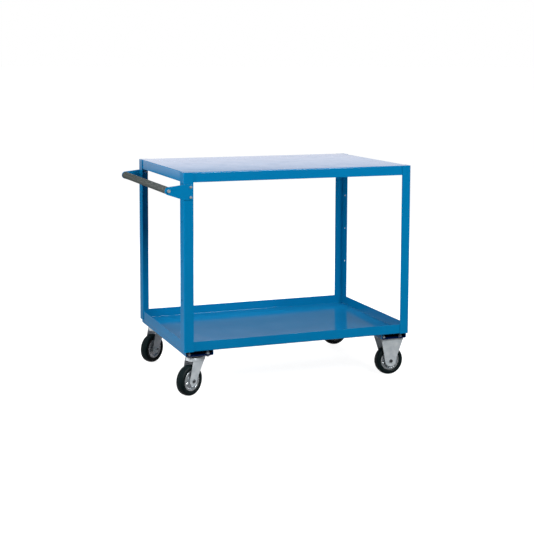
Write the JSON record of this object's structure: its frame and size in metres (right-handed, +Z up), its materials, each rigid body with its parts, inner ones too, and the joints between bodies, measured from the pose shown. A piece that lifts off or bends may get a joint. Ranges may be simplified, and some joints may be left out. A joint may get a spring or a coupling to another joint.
{
  "type": "table trolley",
  "caption": "Steel table trolley with a flat top, a rimmed lower tray, angle posts, a push handle at one end, swivel casters under the handle and fixed casters at the far end.",
  "frame": {"origin": "on the floor under the middle of the whole object", "axes": "+X away from the push handle, along the length; +Y to the back; +Z up"},
  "size_m": [1.078, 0.6986, 0.905],
  "materials": {
    "blue_paint": "sky blue powder coat, smooth and glossy",
    "zinc_plate": "bright zinc plated pressed steel",
    "zinc_fastener": "bright zinc plated",
    "bearing_steel": "ground bearing steel, greased",
    "tyre_rubber": "matt black solid rubber",
    "grip_sleeve": "dark grey moulded grip sleeve",
    "black_plastic": "black moulded plastic"
  },
  "bodies": {
    "chassis": {"post_front_left": "blue_paint", "post_back_left": "blue_paint", "post_front_right": "blue_paint", "post_back_right": "blue_paint", "top_deck": "blue_paint", "lower_tray": "blue_paint", "caster_channel_left": "blue_paint", "caster_channel_right": "blue_paint", "caster_bolts": "zinc_fastener", "caster_washers": "zinc_fastener", "caster_nuts": "zinc_fastener", "handle_bracket_front": "blue_paint", "handle_bracket_back": "blue_paint", "handle_tube": "zinc_plate", "handle_grip": "grip_sleeve", "handle_plugs": "black_plastic", "handle_bolts": "zinc_fastener", "bracket_bolts": "zinc_fastener", "bracket_nuts": "zinc_fastener", "fixed_fork_front_right": "zinc_plate", "fixed_fork_back_right": "zinc_plate", "fixed_axle_sleeves": "zinc_plate", "fixed_axle_bolts": "zinc_fastener", "fixed_axle_nuts": "zinc_fastener", "swivel_plate_front_left": "zinc_plate", "swivel_seal_front_left": "black_plastic", "swivel_balls_front_left": "bearing_steel", "lower_race_front_left": "zinc_plate", "king_pin_front_left": "zinc_plate", "swivel_plate_back_left": "zinc_plate", "swivel_seal_back_left": "black_plastic", "swivel_balls_back_left": "bearing_steel", "lower_race_back_left": "zinc_plate", "king_pin_back_left": "zinc_plate"},
    "swivel_front_left": {"swivel_fork_front_left": "zinc_plate", "axle_sleeve_front_left": "zinc_plate", "axle_bolt_front_left": "zinc_fastener", "axle_nut_front_left": "zinc_fastener"},
    "swivel_back_left": {"swivel_fork_back_left": "zinc_plate", "axle_sleeve_back_left": "zinc_plate", "axle_bolt_back_left": "zinc_fastener", "axle_nut_back_left": "zinc_fastener"},
    "wheel_front_left": {"tyre_front_left": "tyre_rubber", "rim_outer_front_left": "zinc_plate", "rim_inner_front_left": "zinc_plate", "roller_bearing_front_left": "bearing_steel"},
    "wheel_back_left": {"tyre_back_left": "tyre_rubber", "rim_outer_back_left": "zinc_plate", "rim_inner_back_left": "zinc_plate", "roller_bearing_back_left": "bearing_steel"},
    "wheel_front_right": {"tyre_front_right": "tyre_rubber", "rim_outer_front_right": "zinc_plate", "rim_inner_front_right": "zinc_plate", "roller_bearing_front_right": "bearing_steel"},
    "wheel_back_right": {"tyre_back_right": "tyre_rubber", "rim_outer_back_right": "zinc_plate", "rim_inner_back_right": "zinc_plate", "roller_bearing_back_right": "bearing_steel"}
  },
  "joints": [
    {"name": "swivel_turn_front_left", "type": "hinge", "parent": "chassis", "child": "swivel_front_left", "pos_m": [-0.395, -0.285, 0.155], "axis": [0, 0, 1], "continuous": true},
    {"name": "wheel_spin_front_left", "type": "hinge", "parent": "swivel_front_left", "child": "wheel_front_left", "pos_m": [-0.42985, -0.30464, 0.0625], "axis": [-0.4909, 0.8712, 0], "continuous": true},
    {"name": "swivel_turn_back_left", "type": "hinge", "parent": "chassis", "child": "swivel_back_left", "pos_m": [-0.395, 0.285, 0.155], "axis": [0, 0, 1], "continuous": true},
    {"name": "wheel_spin_back_left", "type": "hinge", "parent": "swivel_back_left", "child": "wheel_back_left", "pos_m": [-0.42796, 0.26234, 0.0625], "axis": [-0.5664, 0.8241, 0], "continuous": true},
    {"name": "wheel_spin_front_right", "type": "hinge", "parent": "chassis", "child": "wheel_front_right", "pos_m": [0.473, -0.285, 0.0625], "axis": [0, 1, 0], "continuous": true},
    {"name": "wheel_spin_back_right", "type": "hinge", "parent": "chassis", "child": "wheel_back_right", "pos_m": [0.473, 0.285, 0.0625], "axis": [0, 1, 0], "continuous": true}
  ]
}
